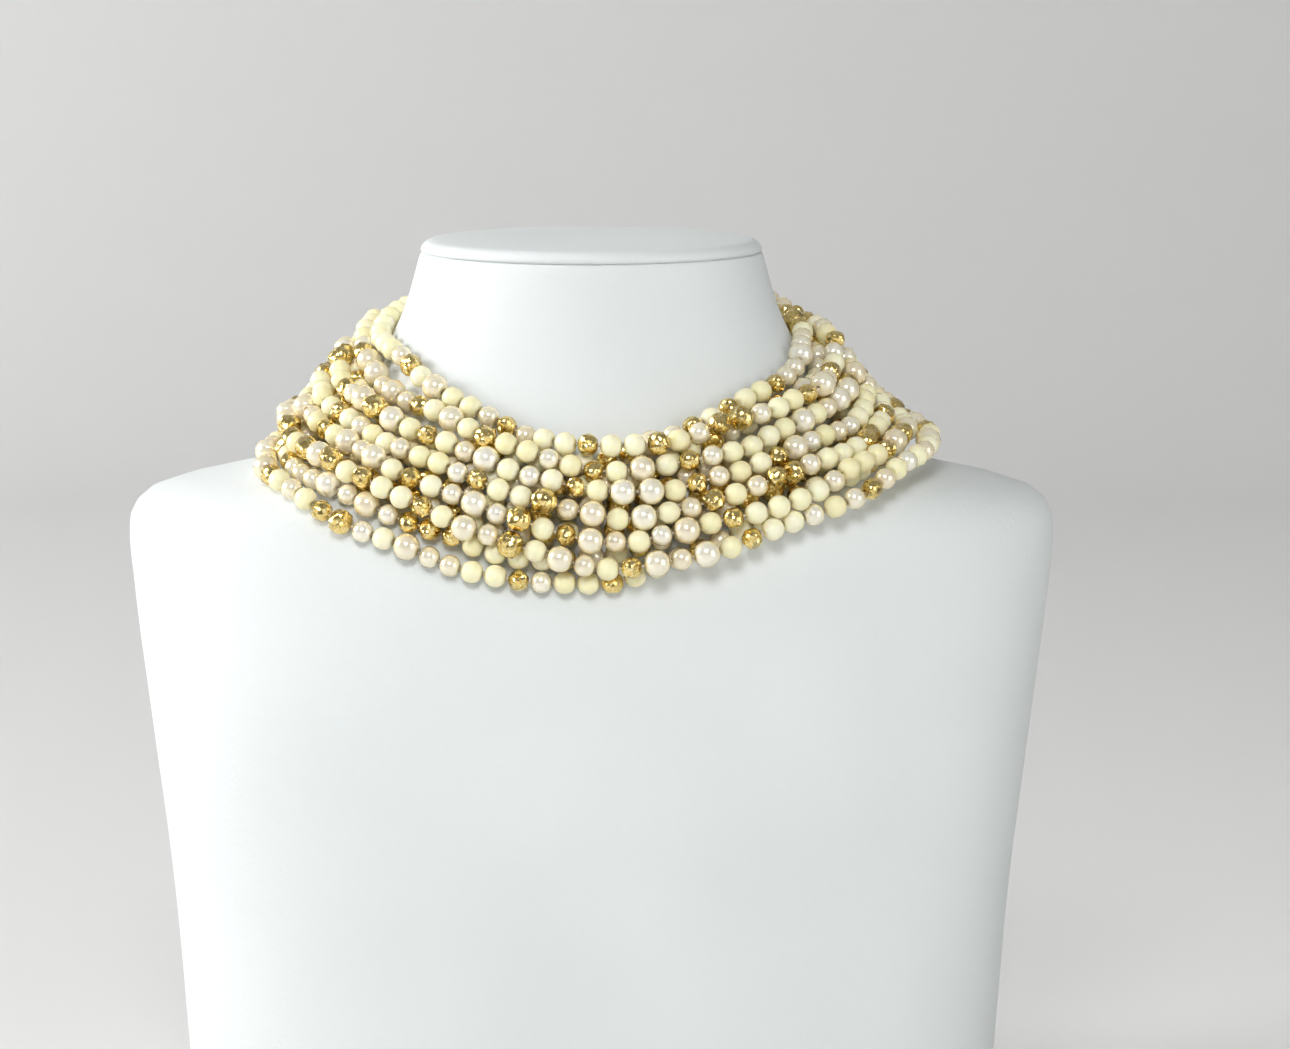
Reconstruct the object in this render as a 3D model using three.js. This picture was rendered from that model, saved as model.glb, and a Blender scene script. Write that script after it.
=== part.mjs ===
// Beaded choker necklace: twelve strands of round beads in two crossing layers, gathered in one
// clasp at the nape, on a plain neck bust.
// Millimetres. X runs to the right in the front view, -Y points to the front, +Z points up, and the
// origin is the middle of the base that the bust stands on.
import * as THREE from 'three';
import { mergeVertices } from 'three/addons/utils/BufferGeometryUtils.js';

// Neck bust
const BUST_HEIGHT = 265;
const LID_RISE = 4;
const NECK_HALF_WIDTH = 48;
const NECK_FRONT = 48;
const NECK_BACK = 48;
const SHOULDER_HALF_WIDTH = 135;
const CHEST_FRONT = 82;
const BACK_DEPTH = 61;
const BUST_SIDES = 32;

// Strings of beads
const STRING_DIAMETER = 6.0;
const BEAD_DIAMETER = { cream: 5.9, small_pearl: 5.7, large_pearl: 6.2, gold: 5.9, large_gold: 6.2 };
const THREAD_DIAMETER = 1.0;
const OVER_STRANDS = 6;
const UNDER_STRANDS = 6;
const BEAD_SIDES = 10;
const BEAD_LATITUDES = [-48, 0, 48];
const TUBE_SIDES = 8;
const ROUTE_STEPS = 36;

// Fits
const BUST_CLEARANCE = 0.7;
const LAYER_CLEARANCE = 0.45;
const CLASP_CLEARANCE = 0.8;

// Collar: how far its upper edge hangs below the neck's rim, with a V-shaped dip at the throat, and
// the way between two strands
const EDGE_DROP_FRONT = 47;
const EDGE_DROP_SIDE = 22.5;
const EDGE_DROP_BACK = 6.5;
const THROAT_DIP = 4;
const THROAT_NARROWNESS = 24;
const PITCH_ENDS = 6.7;
const PITCH_SIDE = 7.2;

// The under layer hangs half a strand lower, so that the over layer lies in its grooves. The layers
// cross by a number of strands, most at 60 degrees from the front, where the crossing's formula
// peaks. The wave along a strand is a share of the pitch.
const NEST = 0.5;
const CROSSING = 0.8;
const CROSSING_PEAK = 1.3;
const WAVE = 0.03;
const WAVE_BENDS = 3;
const WAVE_SHIFT = 2.1;

// The over layer comes down onto the skin between these numbers of layer steps from the under layer
const DESCENT_START = 0.45;
const DESCENT_END = 1.55;

// Clasp
const CLASP_WIDTH = 14;
const CLASP_BEVEL = 0.8;
const CLASP_STATIONS = 6;

// Sections of the bust from the base up. Height is a share of the bust's height. Spread, chest and
// back are the shares of the way from the neck's rim out to the shoulder, chest and back. Power is
// the superellipse's.
const BUST_SECTIONS = [
  { height: 0.000, spread: 0.788, chest: 0.940, back: 0.46, power: 2.6 },
  { height: 0.106, spread: 0.812, chest: 0.970, back: 0.54, power: 2.6 },
  { height: 0.302, spread: 0.859, chest: 1.000, back: 0.85, power: 2.6 },
  { height: 0.491, spread: 0.929, chest: 0.940, back: 1.00, power: 2.6 },
  { height: 0.623, spread: 0.982, chest: 0.779, back: 0.95, power: 2.5 },
  { height: 0.694, spread: 1.000, chest: 0.632, back: 0.85, power: 2.4 },
  { height: 0.721, spread: 0.976, chest: 0.568, back: 0.77, power: 2.3 },
  { height: 0.740, spread: 0.894, chest: 0.515, back: 0.69, power: 2.2 },
  { height: 0.753, spread: 0.741, chest: 0.476, back: 0.63, power: 2.15 },
  { height: 0.764, spread: 0.576, chest: 0.441, back: 0.58, power: 2.1 },
  { height: 0.779, spread: 0.447, chest: 0.397, back: 0.50, power: 2.05 },
  { height: 0.804, spread: 0.341, chest: 0.324, back: 0.39, power: 2.0 },
  { height: 0.838, spread: 0.247, chest: 0.220, back: 0.23, power: 2.0 },
  { height: 0.875, spread: 0.165, chest: 0.132, back: 0.115, power: 2.0 },
  { height: 0.913, spread: 0.100, chest: 0.074, back: 0.04, power: 2.0 },
  { height: 0.951, spread: 0.053, chest: 0.030, back: 0.00, power: 2.0 },
  { height: 0.985, spread: 0.020, chest: 0.005, back: 0.00, power: 2.0 },
  { height: 1.000, spread: 0.000, chest: 0.000, back: 0.00, power: 2.0 },
];

// One repeat of the stringing on the beaded strand, from the left end round the front
const STRINGING = [
  'cream', 'large_pearl', 'cream', 'cream', 'small_pearl', 'gold', 'small_pearl', 'cream', 'cream',
  'gold', 'cream', 'cream', 'large_gold', 'cream', 'small_pearl', 'cream', 'large_pearl',
];

const UNDER_LIFT = STRING_DIAMETER / 2 + BUST_CLEARANCE;
const LAYER_STEP = STRING_DIAMETER + LAYER_CLEARANCE;
const OVER_LIFT = UNDER_LIFT + LAYER_STEP;

const mix = (from, to, share) => from + (to - from) * share;

// The bust's half-width, depths and power at a height, smooth through the table's sections
function sectionAt(z) {
  const share = THREE.MathUtils.clamp(z / BUST_HEIGHT, 0, 1);
  const last = BUST_SECTIONS.length - 1;
  let row = 0;
  while (row < last - 1 && BUST_SECTIONS[row + 1].height < share) row += 1;
  const [before, low, high, after] = [row - 1, row, row + 1, row + 2]
    .map((index) => BUST_SECTIONS[THREE.MathUtils.clamp(index, 0, last)]);
  const span = high.height - low.height;
  const t = (share - low.height) / span;
  const smooth = (column) => {
    const startSlope = (high[column] - before[column]) / Math.max(high.height - before.height, span);
    const endSlope = (after[column] - low[column]) / Math.max(after.height - low.height, span);
    return (2 * t ** 3 - 3 * t ** 2 + 1) * low[column] + (t ** 3 - 2 * t ** 2 + t) * startSlope * span
      + (3 * t ** 2 - 2 * t ** 3) * high[column] + (t ** 3 - t ** 2) * endSlope * span;
  };
  return {
    width: mix(NECK_HALF_WIDTH, SHOULDER_HALF_WIDTH, smooth('spread')),
    front: mix(NECK_FRONT, CHEST_FRONT, smooth('chest')),
    back: mix(NECK_BACK, BACK_DEPTH, smooth('back')),
    power: smooth('power'),
  };
}

// A point of the bust's skin. The angle is 0 at the front and grows towards +X.
function skinPoint(angle, z) {
  const { width, front, back, power } = sectionAt(z);
  const depth = Math.cos(angle) > 0 ? front : back;
  const across = Math.abs(Math.sin(angle) / width) ** power;
  const along = Math.abs(Math.cos(angle) / depth) ** power;
  const radius = (across + along) ** (-1 / power);
  return new THREE.Vector3(radius * Math.sin(angle), -radius * Math.cos(angle), z);
}

function skinNormal(angle, z) {
  const turn = 0.02;
  const rise = 1.5;
  const around = skinPoint(angle + turn, z).sub(skinPoint(angle - turn, z));
  const up = skinPoint(angle, z + rise).sub(skinPoint(angle, z - rise));
  return around.cross(up).normalize();
}

const liftedPoint = (angle, z, lift) => skinPoint(angle, z).addScaledVector(skinNormal(angle, z), lift);

// Height of the collar's upper edge on the skin: a wave through its front, side and back drops
function edgeHeight(angle) {
  const middle = (EDGE_DROP_FRONT + EDGE_DROP_BACK) / 2;
  const drop = (middle + EDGE_DROP_SIDE) / 2 + (EDGE_DROP_FRONT - EDGE_DROP_BACK) / 2 * Math.cos(angle)
    + (middle - EDGE_DROP_SIDE) / 2 * Math.cos(2 * angle);
  const dip = THROAT_DIP * ((1 + Math.cos(angle)) / 2) ** THROAT_NARROWNESS;
  return BUST_HEIGHT - drop - dip;
}

// The point a given way down the collar from its upper edge, measured along the lifted skin
function collarPoint(angle, way, lift) {
  const step = 0.5;
  let z = edgeHeight(angle);
  let here = liftedPoint(angle, z, lift);
  let walked = 0;
  while (walked < way) {
    const next = liftedPoint(angle, z - step, lift);
    const length = next.distanceTo(here);
    if (walked + length >= way) return here.lerp(next, (way - walked) / length);
    walked += length;
    here = next;
    z -= step;
  }
  return here;
}

// How far a strand of the over layer stands off the skin. It comes down onto the skin where the
// under layer's first strand lies a given way below it.
function overLift(way) {
  const down = THREE.MathUtils.smoothstep(way, DESCENT_START * LAYER_STEP, DESCENT_END * LAYER_STEP);
  return OVER_LIFT - LAYER_STEP * down;
}

// Strand number `index` of a layer, from the left side of the clasp round the front to its right.
// On the right the over layer runs lower than the under layer, and on the left higher.
function strandRoute(index, isOver) {
  const reach = CLASP_WIDTH / 2 + CLASP_CLEARANCE;
  const nape = skinPoint(Math.PI, edgeHeight(Math.PI)).y + (isOver ? OVER_LIFT : UNDER_LIFT);
  const end = Math.PI - Math.asin(reach / nape);
  const points = [];
  for (let station = 0; station <= ROUTE_STEPS; station += 1) {
    const angle = mix(-end, end, station / ROUTE_STEPS);
    const sideways = Math.sin(angle) ** 2;
    const crossing = CROSSING * Math.sin(angle) * (1 + Math.cos(angle)) / CROSSING_PEAK;
    const wave = WAVE * sideways * Math.sin(WAVE_BENDS * angle + WAVE_SHIFT * index);
    const pitch = mix(PITCH_ENDS, PITCH_SIDE, sideways);
    const firstUnder = CROSSING + NEST - crossing;
    const rank = index + wave + (isOver ? CROSSING + crossing : firstUnder);
    const lift = isOver ? overLift((firstUnder - rank) * pitch) : UNDER_LIFT;
    points.push(collarPoint(angle, rank * pitch, lift));
  }
  return new THREE.CatmullRomCurve3(points, false, 'centripetal');
}

// One closed body from a geometry: only positions, with shared corners merged
function closedBody(geometry) {
  geometry.deleteAttribute('normal');
  geometry.deleteAttribute('uv');
  const body = mergeVertices(geometry, 1e-3);
  body.computeVertexNormals();
  return body;
}

// The neck's lid slopes down to the front: its height over the rim's front edge, at a depth y
const lidHeight = (y) => LID_RISE * (y + NECK_FRONT) / (NECK_FRONT + NECK_BACK);

function neckBustGeometry() {
  const rows = BUST_SECTIONS.length;
  const corners = [];
  const faces = [];
  for (let row = 0; row < rows; row += 1) {
    for (let side = 0; side < BUST_SIDES; side += 1) {
      const { x, y, z } = skinPoint(2 * Math.PI * side / BUST_SIDES, BUST_SECTIONS[row].height * BUST_HEIGHT);
      corners.push(x, y, row === rows - 1 ? z + lidHeight(y) : z);
    }
  }
  for (let row = 0; row < rows - 1; row += 1) {
    for (let side = 0; side < BUST_SIDES; side += 1) {
      const next = (side + 1) % BUST_SIDES;
      const [a, b, c, d] = [row, row, row + 1, row + 1]
        .map((level, corner) => level * BUST_SIDES + (corner % 3 ? next : side));
      faces.push(a, b, c, a, c, d);
    }
  }
  const base = corners.length / 3;
  corners.push(0, 0, 0, 0, 0, BUST_HEIGHT + lidHeight(0));
  const top = (rows - 1) * BUST_SIDES;
  for (let side = 0; side < BUST_SIDES; side += 1) {
    const next = (side + 1) % BUST_SIDES;
    faces.push(base, next, side);
    faces.push(base + 1, top + side, top + next);
  }
  const geometry = new THREE.BufferGeometry();
  geometry.setAttribute('position', new THREE.Float32BufferAttribute(corners, 3));
  geometry.setIndex(faces);
  return closedBody(geometry);
}

// The clasp is one curved bar: a side outline that follows the nape, pushed out to both sides
function claspGeometry() {
  const inner = BUST_CLEARANCE;
  const outer = OVER_LIFT + STRING_DIAMETER / 2;
  const first = (CROSSING - 0.5) * PITCH_ENDS;
  const last = (UNDER_STRANDS - 1 + CROSSING + NEST + 0.5) * PITCH_ENDS;
  const outline = [];
  for (let station = 0; station < CLASP_STATIONS; station += 1) {
    outline.push(collarPoint(Math.PI, mix(first, last, station / (CLASP_STATIONS - 1)), outer));
  }
  for (let station = CLASP_STATIONS - 1; station >= 0; station -= 1) {
    outline.push(collarPoint(Math.PI, mix(first, last, station / (CLASP_STATIONS - 1)), inner));
  }
  const shape = new THREE.Shape(outline.map(({ y, z }) => new THREE.Vector2(y, z)));
  const geometry = new THREE.ExtrudeGeometry(shape, {
    depth: CLASP_WIDTH - 2 * CLASP_BEVEL,
    bevelEnabled: true,
    bevelSegments: 1,
    bevelSize: CLASP_BEVEL,
    bevelOffset: -CLASP_BEVEL,
    bevelThickness: CLASP_BEVEL,
  });
  geometry.translate(0, 0, CLASP_BEVEL - CLASP_WIDTH / 2);
  geometry.applyMatrix4(new THREE.Matrix4().set(0, 0, 1, 0, 1, 0, 0, 0, 0, 1, 0, 0, 0, 0, 0, 1));
  return closedBody(geometry);
}

// A plain string: a round tube along the strand's route
function tubeGeometry(route) {
  const section = new THREE.Shape();
  for (let side = 0; side < TUBE_SIDES; side += 1) {
    const turn = 2 * Math.PI * side / TUBE_SIDES;
    const [x, y] = [Math.cos(turn), Math.sin(turn)].map((value) => value * STRING_DIAMETER / 2);
    if (side === 0) section.moveTo(x, y);
    else section.lineTo(x, y);
  }
  section.closePath();
  const options = { steps: ROUTE_STEPS, extrudePath: route, bevelEnabled: false };
  return closedBody(new THREE.ExtrudeGeometry(section, options));
}

// Profile of a straight beaded string: beads in their order, threaded on one line
function beadedProfile(length) {
  const sizes = [];
  let taken = THREAD_DIAMETER;
  for (let bead = 0; taken < length; bead += 1) {
    const diameter = BEAD_DIAMETER[STRINGING[bead % STRINGING.length]];
    taken += diameter;
    if (taken < length) sizes.push(diameter);
  }
  const stretch = length / sizes.reduce((sum, diameter) => sum + diameter, 0);
  const thread = THREAD_DIAMETER / 2;
  const profile = [new THREE.Vector2(0, 0), new THREE.Vector2(thread, 0)];
  let start = 0;
  for (const diameter of sizes) {
    const middle = start + diameter * stretch / 2;
    for (const latitude of BEAD_LATITUDES.map(THREE.MathUtils.degToRad)) {
      profile.push(new THREE.Vector2(
        diameter / 2 * Math.cos(latitude),
        middle + diameter / 2 * Math.sin(latitude),
      ));
    }
    start += diameter * stretch;
    profile.push(new THREE.Vector2(thread, start));
  }
  profile.push(new THREE.Vector2(0, start));
  return profile;
}

// A beaded string: the straight one turned on a lathe, then bent onto the strand's route
function beadedGeometry(route) {
  const length = route.getLength();
  const geometry = closedBody(new THREE.LatheGeometry(beadedProfile(length), BEAD_SIDES));
  const corners = geometry.attributes.position;
  const corner = new THREE.Vector3();
  for (let index = 0; index < corners.count; index += 1) {
    corner.fromBufferAttribute(corners, index);
    const share = THREE.MathUtils.clamp(corner.y / length, 0, 1);
    const centre = route.getPointAt(share);
    const along = route.getTangentAt(share);
    const outward = new THREE.Vector3(centre.x, centre.y, 0);
    outward.addScaledVector(along, -outward.dot(along)).normalize();
    const across = new THREE.Vector3().crossVectors(along, outward);
    centre.addScaledVector(across, corner.x).addScaledVector(outward, corner.z);
    corners.setXYZ(index, centre.x, centre.y, centre.z);
  }
  geometry.computeVertexNormals();
  return geometry;
}

const leatherette = new THREE.MeshStandardMaterial({ color: 0xf4f6f6, roughness: 0.6, metalness: 0 });
const gold = new THREE.MeshStandardMaterial({ color: 0xe0b145, roughness: 0.25, metalness: 1 });
const cream = new THREE.MeshStandardMaterial({ color: 0xefe8c2, roughness: 0.35, metalness: 0 });
const pearl = new THREE.MeshStandardMaterial({ color: 0xefe3df, roughness: 0.2, metalness: 0 });

const necklace = new THREE.Group();

function addPiece(name, geometry, material) {
  const piece = new THREE.Mesh(geometry, material);
  piece.name = name;
  necklace.add(piece);
}

addPiece('neck_bust', neckBustGeometry(), leatherette);
addPiece('clasp', claspGeometry(), gold);
for (let index = 0; index < UNDER_STRANDS; index += 1) {
  addPiece(`under_strand_${index + 1}`, tubeGeometry(strandRoute(index, false)), pearl);
}
for (let index = 0; index < OVER_STRANDS; index += 1) {
  const route = strandRoute(index, true);
  const geometry = index === 0 ? beadedGeometry(route) : tubeGeometry(route);
  addPiece(`over_strand_${index + 1}`, geometry, cream);
}

export default necklace;
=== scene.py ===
# Looks of the beaded choker necklace on its neck bust.
# Metres. -Y is the front, +Z is up, and the bust stands on Z = 0.
import math
import random

import bmesh
import bpy
import numpy as np
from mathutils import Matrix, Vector


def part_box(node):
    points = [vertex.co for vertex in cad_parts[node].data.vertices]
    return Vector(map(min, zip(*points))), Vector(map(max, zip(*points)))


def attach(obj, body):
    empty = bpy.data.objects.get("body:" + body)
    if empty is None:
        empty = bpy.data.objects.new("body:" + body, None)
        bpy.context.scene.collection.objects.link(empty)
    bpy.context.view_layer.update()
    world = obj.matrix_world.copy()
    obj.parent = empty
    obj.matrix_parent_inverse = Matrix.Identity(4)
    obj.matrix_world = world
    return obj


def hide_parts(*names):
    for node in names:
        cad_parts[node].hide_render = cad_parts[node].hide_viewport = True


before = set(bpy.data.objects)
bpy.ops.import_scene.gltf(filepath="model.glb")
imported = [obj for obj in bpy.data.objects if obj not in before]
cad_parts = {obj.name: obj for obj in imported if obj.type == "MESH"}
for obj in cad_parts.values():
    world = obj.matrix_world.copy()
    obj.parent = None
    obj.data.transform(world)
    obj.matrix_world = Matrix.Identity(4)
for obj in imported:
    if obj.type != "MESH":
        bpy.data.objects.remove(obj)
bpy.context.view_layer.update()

MM = 0.001

# Neck bust, from the frame and the part's own sizes. The neck's lid slopes down to the front.
bust_low, bust_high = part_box("neck_bust")
LID_RISE = 4 * MM
BUST_HEIGHT = bust_high.z - LID_RISE
SHOULDER_HALF_WIDTH = bust_high.x
CHEST_FRONT = -bust_low.y
BACK_DEPTH = bust_high.y
NECK_HALF_WIDTH = 48 * MM
NECK_FRONT = 48 * MM
NECK_BACK = 48 * MM
BUST_SIDES = 96
BUST_LEVELS = 70

# Lid of the neck: a padded disc with a rolled rim above a stitched seam
LID_LEVELS = [
    {"below_top": 4.5, "inset": 0.0},
    {"below_top": 4.0, "inset": 0.1},
    {"below_top": 3.7, "inset": 0.8},
    {"below_top": 3.4, "inset": 0.0},
    {"below_top": 2.9, "inset": -0.4},
    {"below_top": 2.0, "inset": -0.5},
    {"below_top": 1.1, "inset": -0.1},
    {"below_top": 0.5, "inset": 0.5},
    {"below_top": 0.2, "inset": 1.4},
    {"below_top": 0.0, "inset": 3.0},
    {"below_top": 0.0, "inset": 20.0},
]

# Strings of beads
STRING_DIAMETER = 6.0 * MM
BUST_CLEARANCE = 0.7 * MM
LAYER_CLEARANCE = 0.45 * MM
CLASP_CLEARANCE = 0.8 * MM
OVER_STRANDS = 6
UNDER_STRANDS = 6
EDGE_DROP_FRONT = 47 * MM
EDGE_DROP_SIDE = 22.5 * MM
EDGE_DROP_BACK = 6.5 * MM
THROAT_DIP = 4 * MM
THROAT_NARROWNESS = 24
PITCH_ENDS = 6.7 * MM
PITCH_SIDE = 7.2 * MM
NEST = 0.5
CROSSING = 0.8
CROSSING_PEAK = 1.3
WAVE = 0.03
WAVE_BENDS = 3
WAVE_SHIFT = 2.1
DESCENT_START = 0.45
DESCENT_END = 1.55
UNDER_LIFT = STRING_DIAMETER / 2 + BUST_CLEARANCE
LAYER_STEP = STRING_DIAMETER + LAYER_CLEARANCE
OVER_LIFT = UNDER_LIFT + LAYER_STEP
ROUTE_STATIONS = 361
THREAD_RADIUS = 0.35 * MM
THREAD_SIDES = 6

# Sections of the bust from the base up. Height is a share of the bust's height. Spread, chest and
# back are the shares of the way from the neck's rim out to the shoulder, chest and back. Power is
# the superellipse's.
BUST_SECTIONS = np.array(
    [
        (0.000, 0.788, 0.940, 0.46, 2.6),
        (0.106, 0.812, 0.970, 0.54, 2.6),
        (0.302, 0.859, 1.000, 0.85, 2.6),
        (0.491, 0.929, 0.940, 1.00, 2.6),
        (0.623, 0.982, 0.779, 0.95, 2.5),
        (0.694, 1.000, 0.632, 0.85, 2.4),
        (0.721, 0.976, 0.568, 0.77, 2.3),
        (0.740, 0.894, 0.515, 0.69, 2.2),
        (0.753, 0.741, 0.476, 0.63, 2.15),
        (0.764, 0.576, 0.441, 0.58, 2.1),
        (0.779, 0.447, 0.397, 0.50, 2.05),
        (0.804, 0.341, 0.324, 0.39, 2.0),
        (0.838, 0.247, 0.220, 0.23, 2.0),
        (0.875, 0.165, 0.132, 0.115, 2.0),
        (0.913, 0.100, 0.074, 0.04, 2.0),
        (0.951, 0.053, 0.030, 0.00, 2.0),
        (0.985, 0.020, 0.005, 0.00, 2.0),
        (1.000, 0.000, 0.000, 0.00, 2.0),
    ],
    dtype=[("height", float), ("spread", float), ("chest", float), ("back", float), ("power", float)],
)

# Beads: c cream, p small pearl, P large pearl, g small gold nugget, G large gold nugget
BEAD_DIAMETER = {"c": 6.5 * MM, "p": 6.2 * MM, "P": 7.6 * MM, "g": 6.4 * MM, "G": 7.5 * MM}
OVER_MIX = {"c": 42, "p": 24, "P": 13, "g": 14, "G": 7}
UNDER_MIX = {"c": 36, "p": 22, "P": 6, "g": 26, "G": 10}
BEAD_SLACK = 0.04 * MM
STRING_MARGIN = 3.2 * MM
CUP_RADIUS = 1.6 * MM
PEARL, CREAM, NUGGET, PLATE, THREAD = range(5)

# How far the hanging strings wander off an even course, the way that one bend takes, and the
# way from the clasp over which they are held
WANDER = 1.0 * MM
WANDER_BENDS = (38 * MM, 61 * MM, 97 * MM)
HELD_WAY = 45 * MM

# Settling of the beads: the share of each pull that one step takes. Along the bust's normal most of
# the pull towards a bead's first place is left out, and a steady small pull lays it on the bust.
SETTLING_STEPS = 140
NEIGHBOUR_DISTANCE = 10.5 * MM
HOME_SHARE = 0.1
NORMAL_SHARE_LEFT_OUT = 0.85
PUSH_SHARE = 0.35
WEIGHT_STEP = 0.03 * MM
BEAD_GAP_TO_BUST = 0.1 * MM

# Light and stage
ROOM_COLOUR = "#F0F3F2"
ROOM_STRENGTH = 2.35
FLOOR_DEPTH = 0.2 * MM

# Stringing seen at the front, from left to right: the first bead's place across and the beads
FRONT_STRINGING = {
    "over_strand_1": {"from_x": -48 * MM, "beads": "cPccpgpccgccgcpg"},
    "over_strand_2": {"from_x": -52 * MM, "beads": "pgcPcgccpcgcPcgpcc"},
    "over_strand_3": {"from_x": -50 * MM, "beads": "cgcpPcpcgcPPcgpcc"},
    "over_strand_4": {"from_x": -52 * MM, "beads": "pccpgccGpPcPcpg"},
    "over_strand_5": {"from_x": -49 * MM, "beads": "gcpPpGcgPpcpPcg"},
    "over_strand_6": {"from_x": -46 * MM, "beads": "gcPpGcPpcgPpPcgc"},
    "under_strand_6": {"from_x": -44 * MM, "beads": "ppccgpccgccpgpcc"},
}


def mix(start, end, share):
    return start + (end - start) * share


def smoothstep(value, low, high):
    share = np.clip((value - low) / (high - low), 0, 1)
    return share * share * (3 - 2 * share)


def linear(hex_colour):
    """A colour given as sRGB hex, turned to linear"""
    channels = [int(hex_colour[start : start + 2], 16) / 255 for start in (1, 3, 5)]
    return tuple(c / 12.92 if c <= 0.04045 else ((c + 0.055) / 1.055) ** 2.4 for c in channels) + (1.0,)


# The bust's skin and the strings' routes


def section_at(z):
    """The bust's half-width, depths and power at heights z, smooth through the table's sections"""
    heights = BUST_SECTIONS["height"]
    last = len(heights) - 1
    share = np.clip(np.asarray(z, dtype=float) / BUST_HEIGHT, 0, 1)
    row = np.clip(np.searchsorted(heights[1:], share, side="left"), 0, last - 1)
    before, after = np.maximum(row - 1, 0), np.minimum(row + 2, last)
    span = heights[row + 1] - heights[row]
    t = (share - heights[row]) / span
    smooth = {}
    for name in ("spread", "chest", "back", "power"):
        value = BUST_SECTIONS[name]
        start = (value[row + 1] - value[before]) / np.maximum(heights[row + 1] - heights[before], span)
        end = (value[after] - value[row]) / np.maximum(heights[after] - heights[row], span)
        smooth[name] = (
            (2 * t**3 - 3 * t**2 + 1) * value[row]
            + (t**3 - 2 * t**2 + t) * start * span
            + (3 * t**2 - 2 * t**3) * value[row + 1]
            + (t**3 - t**2) * end * span
        )
    width = mix(NECK_HALF_WIDTH, SHOULDER_HALF_WIDTH, smooth["spread"])
    front = mix(NECK_FRONT, CHEST_FRONT, smooth["chest"])
    back = mix(NECK_BACK, BACK_DEPTH, smooth["back"])
    return width, front, back, smooth["power"]


def skin_point(angle, z):
    """Points of the bust's skin. The angle is 0 at the front and grows towards +X."""
    angle, z = np.broadcast_arrays(np.asarray(angle, dtype=float), np.asarray(z, dtype=float))
    width, front, back, power = section_at(z)
    depth = np.where(np.cos(angle) > 0, front, back)
    across = np.abs(np.sin(angle) / width) ** power
    along = np.abs(np.cos(angle) / depth) ** power
    radius = (across + along) ** (-1 / power)
    return np.stack([radius * np.sin(angle), -radius * np.cos(angle), z], axis=-1)


def skin_normal(angle, z):
    turn, rise = 0.02, 1.5 * MM
    around = skin_point(angle + turn, z) - skin_point(angle - turn, z)
    up = skin_point(angle, z + rise) - skin_point(angle, z - rise)
    normal = np.cross(around, up)
    return normal / np.linalg.norm(normal, axis=-1, keepdims=True)


def edge_height(angle):
    """Height of the collar's upper edge on the skin"""
    middle = (EDGE_DROP_FRONT + EDGE_DROP_BACK) / 2
    drop = (
        (middle + EDGE_DROP_SIDE) / 2
        + (EDGE_DROP_FRONT - EDGE_DROP_BACK) / 2 * np.cos(angle)
        + (middle - EDGE_DROP_SIDE) / 2 * np.cos(2 * angle)
    )
    dip = THROAT_DIP * ((1 + np.cos(angle)) / 2) ** THROAT_NARROWNESS
    return BUST_HEIGHT - drop - dip


def collar_points(angle, way, lift):
    """Points a given way down the collar from its upper edge, measured along the lifted skin"""
    angle, way, lift = np.broadcast_arrays(*[np.atleast_1d(np.asarray(v, float)) for v in (angle, way, lift)])
    down = np.arange(0, 62 * MM, 0.5 * MM)
    z = edge_height(angle)[:, None] - down[None, :]
    line = skin_point(angle[:, None], z) + lift[:, None, None] * skin_normal(angle[:, None], z)
    steps = np.linalg.norm(np.diff(line, axis=1), axis=2)
    walked = np.concatenate([np.zeros((len(angle), 1)), np.cumsum(steps, axis=1)], axis=1)
    return np.array(
        [[np.interp(way[i], walked[i], line[i, :, axis]) for axis in range(3)] for i in range(len(angle))]
    )


def strand_route(index, is_over):
    """The middle line of a string, from the left side of the clasp round the front to its right"""
    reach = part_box("clasp")[1].x + CLASP_CLEARANCE
    lift = OVER_LIFT if is_over else UNDER_LIFT
    end = math.pi - math.asin(reach / (skin_point(math.pi, edge_height(math.pi))[1] + lift))
    angle = np.linspace(-end, end, ROUTE_STATIONS)
    sideways = np.sin(angle) ** 2
    crossing = CROSSING * np.sin(angle) * (1 + np.cos(angle)) / CROSSING_PEAK
    wave = WAVE * sideways * np.sin(WAVE_BENDS * angle + WAVE_SHIFT * index)
    pitch = mix(PITCH_ENDS, PITCH_SIDE, sideways)
    first_under = CROSSING + NEST - crossing
    rank = index + wave + (CROSSING + crossing if is_over else first_under)
    if is_over:
        way_to_under = (first_under - rank) * pitch
        down = smoothstep(way_to_under, DESCENT_START * LAYER_STEP, DESCENT_END * LAYER_STEP)
        lift = OVER_LIFT - LAYER_STEP * down
    return collar_points(angle, rank * pitch, lift)


# Materials


def add_node(tree, kind, inputs=None, **settings):
    """Adds a node with its settings. An input's value is a number, a colour or another node's output."""
    node = tree.nodes.new(kind)
    for name, value in settings.items():
        setattr(node, name, value)
    for name, value in (inputs or {}).items():
        if isinstance(value, bpy.types.NodeSocket):
            tree.links.new(value, node.inputs[name])
        else:
            node.inputs[name].default_value = value
    return node


def new_material(name):
    """An empty material, its node tree and its output node"""
    material = bpy.data.materials.new(name)
    material.use_nodes = True
    tree = material.node_tree
    tree.nodes.clear()
    return material, tree, add_node(tree, "ShaderNodeOutputMaterial")


def colour_ramp(tree, share, stops):
    """A ramp through sRGB hex colours at their places"""
    ramp = add_node(tree, "ShaderNodeValToRGB", {"Fac": share})
    elements = ramp.color_ramp.elements
    while len(elements) < len(stops):
        elements.new(0.5)
    for element, (place, colour) in zip(elements, stops):
        element.position = place
        element.color = linear(colour)
    return ramp.outputs["Color"]


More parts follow.
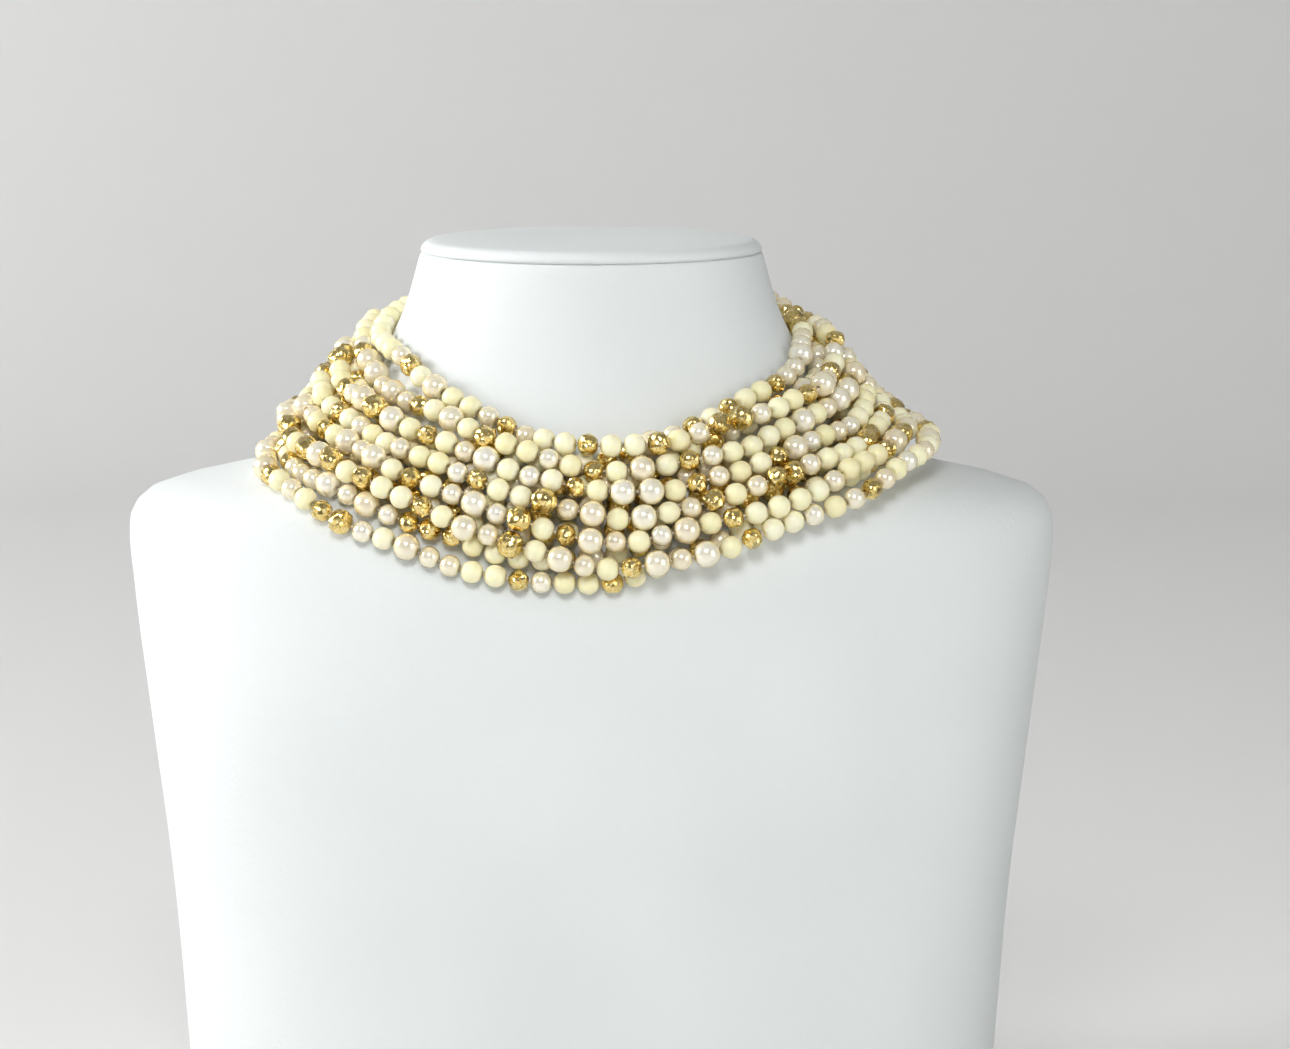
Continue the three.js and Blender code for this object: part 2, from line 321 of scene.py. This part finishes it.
def white_leatherette():
    """Embossed polyurethane leatherette over foam: matte cool white with a fine pebble grain"""
    material, tree, output = new_material("white_leatherette")
    place = add_node(tree, "ShaderNodeTexCoord").outputs["Object"]
    pebble = add_node(tree, "ShaderNodeTexVoronoi", {"Vector": place, "Scale": 1 / (1.3 * MM)}, feature="F1")
    cloud = add_node(tree, "ShaderNodeTexNoise", {"Vector": place, "Scale": 1 / (60 * MM), "Detail": 1.0})
    colour = colour_ramp(tree, cloud.outputs["Fac"], [(0.3, "#DCE1E1"), (0.7, "#E2E6E6")])
    grain = add_node(tree, "ShaderNodeBump", {
        "Height": pebble.outputs["Distance"], "Strength": 0.4, "Distance": 0.14 * MM})
    shader = add_node(tree, "ShaderNodeBsdfPrincipled", {
        "Base Color": colour, "Roughness": 0.6, "IOR": 1.48, "Normal": grain.outputs["Normal"]})
    tree.links.new(shader.outputs["BSDF"], output.inputs["Surface"])
    return material


def imitation_pearl():
    """Glass bead in pearl essence: ivory with a bright coat, a faint silver heart that the gloss reflects
    from the dim room and a painted grey reflection deepens, and a painted honey sheen on the rim
    """
    material, tree, output = new_material("imitation_pearl")
    tint = add_node(tree, "ShaderNodeAttribute", attribute_name="tint").outputs["Fac"]
    body = colour_ramp(tree, tint, [(0.0, "#F9EDD4"), (0.5, "#FDF5E1"), (1.0, "#FFFBEF")])
    # Painted reflection and sheen: the colour dims to a faint painted grey reflection where the surface faces
    # the view, and warms to a painted honey sheen towards the rim.
    facing = add_node(tree, "ShaderNodeLayerWeight", {"Blend": 0.5}).outputs["Facing"]
    painted_reflection_and_sheen = colour_ramp(tree, facing, [
        (0.0, "#F8F6F2"), (0.16, "#FFFEFA"), (0.45, "#FFFBEC"), (0.75, "#FFF0CE"), (1.0, "#FFDDA2")])
    colour = add_node(tree, "ShaderNodeMix", {
        "Factor": 1.0, 6: body, 7: painted_reflection_and_sheen}, data_type="RGBA", blend_type="MULTIPLY")
    shader = add_node(tree, "ShaderNodeBsdfPrincipled", {
        "Base Color": colour.outputs[2], "Metallic": 0.28, "Roughness": 0.24, "IOR": 1.6,
        "Subsurface Weight": 0.3, "Subsurface Radius": (1.0, 0.9, 0.55), "Subsurface Scale": 2.2 * MM,
        "Coat Weight": 1.0, "Coat Roughness": 0.07, "Coat IOR": 1.7})
    tree.links.new(shader.outputs["BSDF"], output.inputs["Surface"])
    return material


def cream_resin():
    """Cast opaque resin: pale lemon ivory with a soft, waxy shine"""
    material, tree, output = new_material("cream_resin")
    tint = add_node(tree, "ShaderNodeAttribute", attribute_name="tint").outputs["Fac"]
    colour = colour_ramp(tree, tint, [(0.0, "#F6EDC0"), (0.5, "#FBF4CC"), (1.0, "#FDF9DA")])
    shader = add_node(tree, "ShaderNodeBsdfPrincipled", {
        "Base Color": colour, "Roughness": 0.38, "IOR": 1.5, "Subsurface Weight": 0.4,
        "Subsurface Radius": (1.0, 0.8, 0.3), "Subsurface Scale": 2.6 * MM,
        "Sheen Weight": 0.45, "Sheen Roughness": 0.5, "Sheen Tint": linear("#FFD98A"),
        "Coat Weight": 0.15, "Coat Roughness": 0.25})
    tree.links.new(shader.outputs["BSDF"], output.inputs["Surface"])
    return material


def hammered_gold():
    """Gold-plated nugget, hammered and tumbled: each blow's flat facet tilts its own way, with fine cracks;
    the metal is coloured with painted olive shade in the grit's hollows and painted near-white glints on its
    raised specks"""
    material, tree, output = new_material("hammered_gold")
    place = add_node(tree, "ShaderNodeTexCoord").outputs["Object"]
    blows = add_node(tree, "ShaderNodeTexVoronoi", {"Vector": place, "Scale": 1 / (2.2 * MM)}, feature="F1")
    grit = add_node(tree, "ShaderNodeTexNoise", {"Vector": place, "Scale": 1 / (0.5 * MM), "Detail": 3.0})
    # Painted shade and glint: the grit that raises the fine cracks also colours the metal, olive in its
    # hollows as painted shade and near white on its raised specks as painted glints.
    painted_shade_and_glint = colour_ramp(tree, grit.outputs["Fac"], [
        (0.3, "#CBAA58"), (0.42, "#ECCC76"), (0.55, "#FAE198"), (0.7, "#FFF4C8")])
    round_face = add_node(tree, "ShaderNodeNewGeometry").outputs["Normal"]
    centred = add_node(tree, "ShaderNodeVectorMath", {
        0: blows.outputs["Color"], 1: (0.5, 0.5, 0.5)}, operation="SUBTRACT").outputs["Vector"]
    tilted = add_node(tree, "ShaderNodeVectorMath", {
        0: centred, 1: (0.8, 0.8, 0.8), 2: round_face}, operation="MULTIPLY_ADD").outputs["Vector"]
    facet = add_node(tree, "ShaderNodeVectorMath", {0: tilted}, operation="NORMALIZE").outputs["Vector"]
    cracks = add_node(tree, "ShaderNodeBump", {
        "Height": grit.outputs["Fac"], "Strength": 0.45, "Distance": 0.1 * MM, "Normal": facet})
    shader = add_node(tree, "ShaderNodeBsdfPrincipled", {
        "Base Color": painted_shade_and_glint, "Metallic": 1.0, "Roughness": 0.22, "Normal": cracks.outputs["Normal"]})
    tree.links.new(shader.outputs["BSDF"], output.inputs["Surface"])
    return material


def polished_gold_plate():
    """Gold-plated brass, polished: warm yellow with fine rubbing marks"""
    material, tree, output = new_material("polished_gold_plate")
    place = add_node(tree, "ShaderNodeTexCoord").outputs["Object"]
    rubbing = add_node(tree, "ShaderNodeTexNoise", {"Vector": place, "Scale": 1 / (0.8 * MM), "Detail": 4.0})
    colour = colour_ramp(tree, rubbing.outputs["Fac"], [(0.35, "#D9A441"), (0.65, "#EBC067")])
    marks = add_node(tree, "ShaderNodeBump", {
        "Height": rubbing.outputs["Fac"], "Strength": 0.15, "Distance": 0.03 * MM})
    shader = add_node(tree, "ShaderNodeBsdfPrincipled", {
        "Base Color": colour, "Metallic": 1.0, "Roughness": 0.22, "Normal": marks.outputs["Normal"]})
    tree.links.new(shader.outputs["BSDF"], output.inputs["Surface"])
    return material


def nylon_thread():
    """Twisted nylon beading thread: off-white, slightly furred"""
    material, tree, output = new_material("nylon_thread")
    place = add_node(tree, "ShaderNodeTexCoord").outputs["Object"]
    twist = add_node(tree, "ShaderNodeTexNoise", {"Vector": place, "Scale": 1 / (0.3 * MM), "Detail": 2.0})
    colour = colour_ramp(tree, twist.outputs["Fac"], [(0.3, "#D9CFB8"), (0.7, "#F3EEE0")])
    shader = add_node(tree, "ShaderNodeBsdfPrincipled", {"Base Color": colour, "Roughness": 0.55})
    tree.links.new(shader.outputs["BSDF"], output.inputs["Surface"])
    return material


# Modelling by hand


def start_piece(name, add_primitive, **settings):
    """Adds a primitive with nothing else selected and names it"""
    bpy.ops.object.select_all(action="DESELECT")
    add_primitive(**settings)
    piece = bpy.context.object
    piece.name = piece.data.name = name
    return piece


def select_faces(piece, wanted):
    """In edit mode, selects the faces whose middle the test wants"""
    bpy.ops.mesh.select_all(action="DESELECT")
    edited = bmesh.from_edit_mesh(piece.data)
    for face in edited.faces:
        face.select_set(wanted(face.calc_center_median()))
    bmesh.update_edit_mesh(piece.data)


def neck_bust(material):
    """The bust: a ring drawn up through the sections, with a padded lid on the neck"""
    levels = [(BUST_HEIGHT * share, 0.0) for share in np.linspace(0, 0.975, BUST_LEVELS)]
    levels += [(BUST_HEIGHT - row["below_top"] * MM, row["inset"] * MM) for row in LID_LEVELS]
    bust = start_piece("white_neck_bust", bpy.ops.mesh.primitive_circle_add,
                       vertices=BUST_SIDES, radius=1, fill_type="NGON")
    bpy.ops.object.mode_set(mode="EDIT")
    bpy.ops.mesh.select_all(action="SELECT")
    for level, (z, inset) in enumerate(levels):
        if level:
            bpy.ops.mesh.extrude_region_move()
        edited = bmesh.from_edit_mesh(bust.data)
        for corner in (vertex for vertex in edited.verts if vertex.select):
            skin = Vector(skin_point(math.atan2(corner.co.x, -corner.co.y), z))
            outward = Vector((skin.x, skin.y, 0)).normalized()
            corner.co = skin - outward * inset
            slope = (corner.co.y + NECK_FRONT) / (NECK_FRONT + NECK_BACK)
            corner.co.z += LID_RISE * slope * smoothstep(z / BUST_HEIGHT, 0.93, 0.98)
        bmesh.update_edit_mesh(bust.data)
    bpy.ops.mesh.select_all(action="SELECT")
    bpy.ops.mesh.normals_make_consistent(inside=False)
    bpy.ops.object.mode_set(mode="OBJECT")
    bpy.ops.object.shade_smooth_by_angle(angle=math.radians(50))
    bust.data.materials.append(material)
    return bust


def clasp_bar(material):
    """The clasp: a bar bent to the nape with rounded edges and a closing seam down its middle"""
    half_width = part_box("clasp")[1].x
    first = (CROSSING - 0.5) * PITCH_ENDS
    last = (UNDER_STRANDS - 1 + CROSSING + NEST + 0.5) * PITCH_ENDS
    clasp = start_piece("bar_clasp", bpy.ops.mesh.primitive_cube_add, size=1)
    bpy.ops.object.mode_set(mode="EDIT")
    cuts = [((0, 0, share), (0, 0, 1)) for share in np.linspace(-0.45, 0.45, 13)]
    cuts += [((side * 0.045, 0, 0), (1, 0, 0)) for side in (-1, 1)]
    for place, direction in cuts:
        bpy.ops.mesh.select_all(action="SELECT")
        bpy.ops.mesh.bisect(plane_co=place, plane_no=direction)
    select_faces(clasp, lambda middle: abs(middle.x) < 0.04 and middle.y > 0.49 and abs(middle.z) < 0.44)
    bpy.ops.mesh.extrude_region_move(TRANSFORM_OT_translate={"value": (0, -0.06, 0)})
    edited = bmesh.from_edit_mesh(clasp.data)
    for corner in edited.verts:
        lift = mix(OVER_LIFT + STRING_DIAMETER / 2, BUST_CLEARANCE, 0.5 - corner.co.y)
        nape = collar_points(math.pi, mix(last, first, corner.co.z + 0.5), lift)[0]
        corner.co = Vector((corner.co.x * 2 * half_width, nape[1], nape[2]))
    bmesh.update_edit_mesh(clasp.data)
    bpy.ops.mesh.select_all(action="SELECT")
    bpy.ops.mesh.normals_make_consistent(inside=False)
    bpy.ops.object.mode_set(mode="OBJECT")
    rounding = clasp.modifiers.new("rounding", "BEVEL")
    rounding.width = 0.9 * MM
    rounding.segments = 3
    rounding.limit_method = "ANGLE"
    rounding.angle_limit = math.radians(40)
    bpy.ops.object.modifier_apply(modifier=rounding.name)
    bpy.ops.object.shade_smooth_by_angle(angle=math.radians(35))
    clasp.data.materials.append(material)
    return clasp


def take_shape(piece):
    """Corners and faces of a modelled piece, which is then removed"""
    corners = np.array([vertex.co[:] for vertex in piece.data.vertices])
    faces = [tuple(face.vertices) for face in piece.data.polygons]
    bpy.data.objects.remove(piece, do_unlink=True)
    return corners, faces


def drilled_bead():
    """A round bead of radius 1 with its drilled hole along Z"""
    bead = start_piece("drilled_bead", bpy.ops.mesh.primitive_uv_sphere_add,
                       segments=10, ring_count=10, radius=1)
    bpy.ops.object.mode_set(mode="EDIT")
    bpy.ops.mesh.select_mode(type="VERT")
    for low, high, finish in ((0.97, 1.1, "drill"), (0.93, 0.97, "mouth")):
        bpy.ops.mesh.select_all(action="DESELECT")
        edited = bmesh.from_edit_mesh(bead.data)
        for corner in edited.verts:
            corner.select_set(low < abs(corner.co.z) < high)
        edited.select_flush_mode()
        bmesh.update_edit_mesh(bead.data)
        if finish == "drill":
            bpy.ops.mesh.delete(type="VERT")
        else:
            bpy.ops.transform.resize(value=(0.65, 0.65, 1.03))
            bpy.ops.mesh.bridge_edge_loops()
    bpy.ops.mesh.select_all(action="SELECT")
    bpy.ops.mesh.normals_make_consistent(inside=False)
    bpy.ops.object.mode_set(mode="OBJECT")
    return take_shape(bead)


def hammered_nugget(seed):
    """A nugget of radius 1: a ball knocked out of true"""
    nugget = start_piece("nugget", bpy.ops.mesh.primitive_ico_sphere_add, subdivisions=2, radius=1)
    bpy.ops.object.mode_set(mode="EDIT")
    bpy.ops.mesh.select_all(action="SELECT")
    bpy.ops.transform.vertex_random(offset=0.07, uniform=0.0, normal=0.6, seed=seed)
    bpy.ops.mesh.normals_make_consistent(inside=False)
    bpy.ops.object.mode_set(mode="OBJECT")
    corners, faces = take_shape(nugget)
    return corners / np.abs(corners).max(), faces


# Stringing


def string_beads(route, chart, bead_mix, chance):
    """Places of the beads along a route, and their kinds: the front's beads, and a mix to both ends"""
    walked = np.concatenate([[0], np.cumsum(np.linalg.norm(np.diff(route, axis=0), axis=1))])
    kinds, weights = list(bead_mix), list(bead_mix.values())
    front = route[:, 1] < 0
    start = np.interp(chart["from_x"], route[front, 0], walked[front])

    def fill(way, previous, direction):
        placed = []
        while True:
            kind = chance.choices(kinds, weights)[0]
            step = (BEAD_DIAMETER[previous] + BEAD_DIAMETER[kind]) / 2 + BEAD_SLACK
            way += direction * step
            if not STRING_MARGIN < way < walked[-1] - STRING_MARGIN:
                return placed
            placed.append((way, kind))
            previous = kind

    charted = [(start, chart["beads"][0])]
    for kind in chart["beads"][1:]:
        step = (BEAD_DIAMETER[charted[-1][1]] + BEAD_DIAMETER[kind]) / 2 + BEAD_SLACK
        charted.append((charted[-1][0] + step, kind))
    beads = fill(start, charted[0][1], -1)[::-1] + charted + fill(charted[-1][0], charted[-1][1], 1)
    ways = np.array([way for way, _ in beads])
    places = np.stack([np.interp(ways, walked, route[:, axis]) for axis in range(3)], axis=1)
    return places, [kind for _, kind in beads]


def wander(places, chance):
    """Bends a string up and down the collar as it hangs, with its two ends held still"""
    walked = np.concatenate([[0], np.cumsum(np.linalg.norm(np.diff(places, axis=0), axis=1))])
    angle = np.arctan2(places[:, 0], -places[:, 1])
    normal = skin_normal(angle, places[:, 2])
    down = np.cross(np.gradient(places, axis=0), normal)
    down /= np.linalg.norm(down, axis=1, keepdims=True)
    sway = sum(np.sin(2 * math.pi * (walked / bend + chance.random())) for bend in WANDER_BENDS)
    held = smoothstep(np.minimum(walked, walked[-1] - walked), 0, HELD_WAY)
    return places + (WANDER / len(WANDER_BENDS) ** 0.5 * sway * held)[:, None] * down


def settle(places, radii, string_of):
    """Lets the beads of all strings find room: off each other, onto the bust and along their thread"""
    home = places.copy()
    apart = np.linalg.norm(places[:, None] - places[None], axis=2)
    first, second = np.nonzero(np.triu(apart < NEIGHBOUR_DISTANCE, 1))
    threaded = (string_of[first] == string_of[second]) & (second == first + 1)
    other = string_of[first] != string_of[second]
    touching = radii[first] + radii[second]
    for _ in range(SETTLING_STEPS):
        angle = np.arctan2(places[:, 0], -places[:, 1])
        normal = skin_normal(angle, places[:, 2])
        homewards = HOME_SHARE * (home - places)
        homewards -= NORMAL_SHARE_LEFT_OUT * np.sum(homewards * normal, axis=1)[:, None] * normal
        places = places + homewards - WEIGHT_STEP * normal
        between = places[second] - places[first]
        distance = np.linalg.norm(between, axis=1)
        wanted = np.where(threaded, touching + BEAD_SLACK, np.maximum(touching, distance))
        step = np.where(threaded | other, PUSH_SHARE * (wanted - distance), 0)
        push = step[:, None] * between / distance[:, None]
        move = np.zeros_like(places)
        np.add.at(move, first, -push)
        np.add.at(move, second, push)
        places = places + move
        angle = np.arctan2(places[:, 0], -places[:, 1])
        normal = skin_normal(angle, places[:, 2])
        depth = np.sum((places - skin_point(angle, places[:, 2])) * normal, axis=1)
        places = places + np.maximum(radii + BEAD_GAP_TO_BUST - depth, 0)[:, None] * normal
    return places


def turned_frames(places):
    """For each bead, its thread's direction and two directions across it"""
    along = np.gradient(places, axis=0)
    along /= np.linalg.norm(along, axis=1, keepdims=True)
    across = np.cross(along, np.array([0.0, 0.0, 1.0]))
    across /= np.linalg.norm(across, axis=1, keepdims=True)
    return along, across, np.cross(along, across)


def thread_shape(points):
    """A thin closed tube through the points"""
    along, across, up = turned_frames(points)
    turn = np.linspace(0, 2 * math.pi, THREAD_SIDES, endpoint=False)
    ring = across[:, None] * np.cos(turn)[None, :, None] + up[:, None] * np.sin(turn)[None, :, None]
    corners = (points[:, None] + THREAD_RADIUS * ring).reshape(-1, 3)
    faces = []
    for row in range(len(points) - 1):
        for side in range(THREAD_SIDES):
            following = (side + 1) % THREAD_SIDES
            low, high = row * THREAD_SIDES, (row + 1) * THREAD_SIDES
            faces.append((low + side, high + side, high + following, low + following))
    faces.append(tuple(range(THREAD_SIDES)))
    faces.append(tuple(len(corners) - 1 - side for side in range(THREAD_SIDES)))
    return corners, faces


def bead_string(name, places, kinds, ends, shapes, materials, chance):
    """One string: its beads, end cups and thread, joined in one mesh"""
    corners, faces, slots, smooth, tints = [], [], [], [], []
    count = 0

    def join(shape, slot, is_smooth, tint):
        nonlocal count
        corners.append(shape[0])
        faces.extend(tuple(corner + count for corner in face) for face in shape[1])
        slots.extend([slot] * len(shape[1]))
        smooth.extend([is_smooth] * len(shape[1]))
        tints.append(np.full(len(shape[0]), tint))
        count += len(shape[0])

    line = np.concatenate([[ends[0]], places, [ends[1]]])
    along, across, up = turned_frames(line)
    for index, kind in enumerate(kinds, start=1):
        turn = chance.uniform(0, 2 * math.pi)
        axes = np.stack([
            across[index] * math.cos(turn) + up[index] * math.sin(turn),
            up[index] * math.cos(turn) - across[index] * math.sin(turn),
            along[index],
        ])
        size = BEAD_DIAMETER[kind] / 2 * chance.uniform(0.98, 1.0)
        shape = chance.choice(shapes["nuggets"]) if kind in "gG" else shapes["bead"]
        slot = {"c": CREAM, "g": NUGGET, "G": NUGGET}.get(kind, PEARL)
        join((shape[0] @ axes * size + line[index], shape[1]), slot, True, chance.random())
    for index, inwards in ((0, 1), (len(line) - 1, -1)):
        axes = np.stack([across[index], up[index], along[index]]) * CUP_RADIUS
        cup = mix(line[index], line[index + inwards], 0.25)
        join((shapes["bead"][0] @ axes + cup, shapes["bead"][1]), PLATE, True, 0.5)
    join(thread_shape(line), THREAD, True, 0.5)

    mesh = bpy.data.meshes.new(name)
    mesh.from_pydata(np.concatenate(corners).tolist(), [], faces)
    mesh.polygons.foreach_set("material_index", slots)
    mesh.polygons.foreach_set("use_smooth", smooth)
    mesh.attributes.new("tint", "FLOAT", "POINT").data.foreach_set("value", np.concatenate(tints))
    for material in materials:
        mesh.materials.append(material)
    mesh.update()
    string = bpy.data.objects.new(name, mesh)
    bpy.context.scene.collection.objects.link(string)
    return string


def all_strings():
    """Every string of both layers, strung, settled and joined"""
    chance = random.Random(12)
    names, strung, ends = [], [], []
    cup_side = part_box("clasp")[1].x - 0.2 * MM
    for is_over, count in ((False, UNDER_STRANDS), (True, OVER_STRANDS)):
        for index in range(count):
            name = f"{'over' if is_over else 'under'}_strand_{index + 1}"
            route = strand_route(index, is_over)
            bead_mix = OVER_MIX if is_over else UNDER_MIX
            filler = "".join(chance.choices(list(bead_mix), list(bead_mix.values()), k=12))
            chart = FRONT_STRINGING.get(name, {"from_x": -38 * MM, "beads": filler})
            names.append(name)
            places, kinds = string_beads(route, chart, bead_mix, chance)
            strung.append((wander(places, chance), kinds))
            ends.append([[math.copysign(cup_side, end[0]), end[1], end[2]] for end in route[[0, -1]]])
    places = np.concatenate([places for places, _ in strung])
    kinds = [kind for _, kinds in strung for kind in kinds]
    radii = np.array([BEAD_DIAMETER[kind] / 2 for kind in kinds])
    string_of = np.concatenate([np.full(len(kinds), index) for index, (_, kinds) in enumerate(strung)])
    settled = settle(places, radii, string_of)
    shapes = {"bead": drilled_bead(), "nuggets": [hammered_nugget(seed) for seed in range(1, 6)]}
    materials = [imitation_pearl(), cream_resin(), hammered_gold(), polished_gold_plate(), nylon_thread()]
    for index, name in enumerate(names):
        mine = string_of == index
        string = bead_string(name.replace("strand", "beads"), settled[mine], strung[index][1],
                             np.array(ends[index]), shapes, materials, chance)
        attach(string, "root")
        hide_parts(name)
    return materials


def plain_sweep():
    """The pale floor that runs up into a plain backdrop in one wide curve"""
    floor_front, floor_back, radius, height, width = -9.0, 1.8, 0.9, 2.4, 5.0
    sweep = start_piece("floor_and_backdrop", bpy.ops.mesh.primitive_plane_add, size=1)
    bpy.ops.object.mode_set(mode="EDIT")
    edited = bmesh.from_edit_mesh(sweep.data)
    edited.verts.ensure_lookup_table()
    for corner in edited.verts:
        end = floor_front if corner.co.y < 0 else floor_back
        corner.co = Vector((corner.co.x * 2 * width, end, -FLOOR_DEPTH))
    edited.select_mode = {"EDGE"}
    for edge in edited.edges:
        edge.select_set(all(corner.co.y > 0 for corner in edge.verts))
    bmesh.update_edit_mesh(sweep.data)
    steps = 32
    bend = math.pi / 2
    for step in range(steps):
        low, high = bend * step / steps, bend * (step + 1) / steps
        offset = (0, radius * (math.sin(high) - math.sin(low)), radius * (math.cos(low) - math.cos(high)))
        bpy.ops.mesh.extrude_region_move(TRANSFORM_OT_translate={"value": offset})
    bpy.ops.mesh.extrude_region_move(TRANSFORM_OT_translate={"value": (0, 0, height)})
    bpy.ops.object.mode_set(mode="OBJECT")
    bpy.ops.object.shade_smooth()
    material, tree, output = new_material("matte_paper_backdrop")
    shader = add_node(tree, "ShaderNodeBsdfPrincipled", {"Base Color": linear("#EAEAE9"), "Roughness": 0.9})
    tree.links.new(shader.outputs["BSDF"], output.inputs["Surface"])
    sweep.data.materials.append(material)


def add_lamp(name, place, aim, size, power, colour):
    """A soft square lamp at a place, turned towards another"""
    lamp = bpy.data.lights.new(name, "AREA")
    lamp.shape = "SQUARE"
    lamp.size = size
    lamp.energy = power
    lamp.color = linear(colour)[:3]
    holder = bpy.data.objects.new(name, lamp)
    holder.location = place
    holder.rotation_euler = (Vector(aim) - Vector(place)).to_track_quat("-Z", "Y").to_euler()
    bpy.context.scene.collection.objects.link(holder)


def studio():
    """Soft light: a window from the left, one over the camera, a fill, and a pale room whose front
    end is dim, which gives pearls and gold their grey hearts"""
    neck = (0, 0, 0.22)
    add_lamp("window_left", (-1.5, -0.1, 0.8), neck, 0.8, 21.5, "#FFFFFF")
    add_lamp("window_over_camera", (-0.1, -1.25, 0.95), neck, 0.42, 9.5, "#FFFFFF")
    add_lamp("fill_right", (1.3, -1.0, 0.5), neck, 1.0, 7.5, "#FFFFFF")
    add_lamp("backdrop_left", (-2.0, 1.0, 0.9), (-0.5, 2.3, 0.3), 0.8, 28, "#FFFFFF")
    world = bpy.data.worlds.new("pale_room")
    world.use_nodes = True
    tree = world.node_tree
    direction = add_node(tree, "ShaderNodeTexCoord").outputs["Generated"]
    frontward = add_node(tree, "ShaderNodeVectorMath", {0: direction, 1: (0, -1, 0)}, operation="DOT_PRODUCT")
    room = colour_ramp(tree, frontward.outputs["Value"], [(0.62, ROOM_COLOUR), (0.88, "#85827A")])
    mirrored = add_node(tree, "ShaderNodeLightPath").outputs["Is Glossy Ray"]
    colour = add_node(tree, "ShaderNodeMix", {
        "Factor": mirrored, 6: linear(ROOM_COLOUR), 7: room}, data_type="RGBA")
    background = tree.nodes["Background"]
    background.inputs["Strength"].default_value = ROOM_STRENGTH
    tree.links.new(colour.outputs[2], background.inputs["Color"])
    bpy.context.scene.world = world
    bpy.context.scene.view_settings.view_transform = "Standard"


def photo_camera():
    """The camera of the photo: level with the necklace from 1.15 m, a little above it"""
    distance, elevation, frame_width = 1.15, math.radians(6.4), 379 * MM
    aim = Vector((15.6 * MM, 0, 183 * MM))
    camera = bpy.data.cameras.new("photo_camera")
    camera.sensor_width = 36
    camera.lens = camera.sensor_width * distance / frame_width
    holder = bpy.data.objects.new("photo_camera", camera)
    holder.location = aim + distance * Vector((0, -math.cos(elevation), math.sin(elevation)))
    holder.rotation_euler = (aim - holder.location).to_track_quat("-Z", "Y").to_euler()
    bpy.context.scene.collection.objects.link(holder)
    bpy.context.scene.camera = holder


photo_camera()
strings_materials = all_strings()

bust = neck_bust(white_leatherette())
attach(bust, "root")
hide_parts("neck_bust")

clasp = clasp_bar(strings_materials[PLATE])
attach(clasp, "root")
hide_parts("clasp")

plain_sweep()
studio()
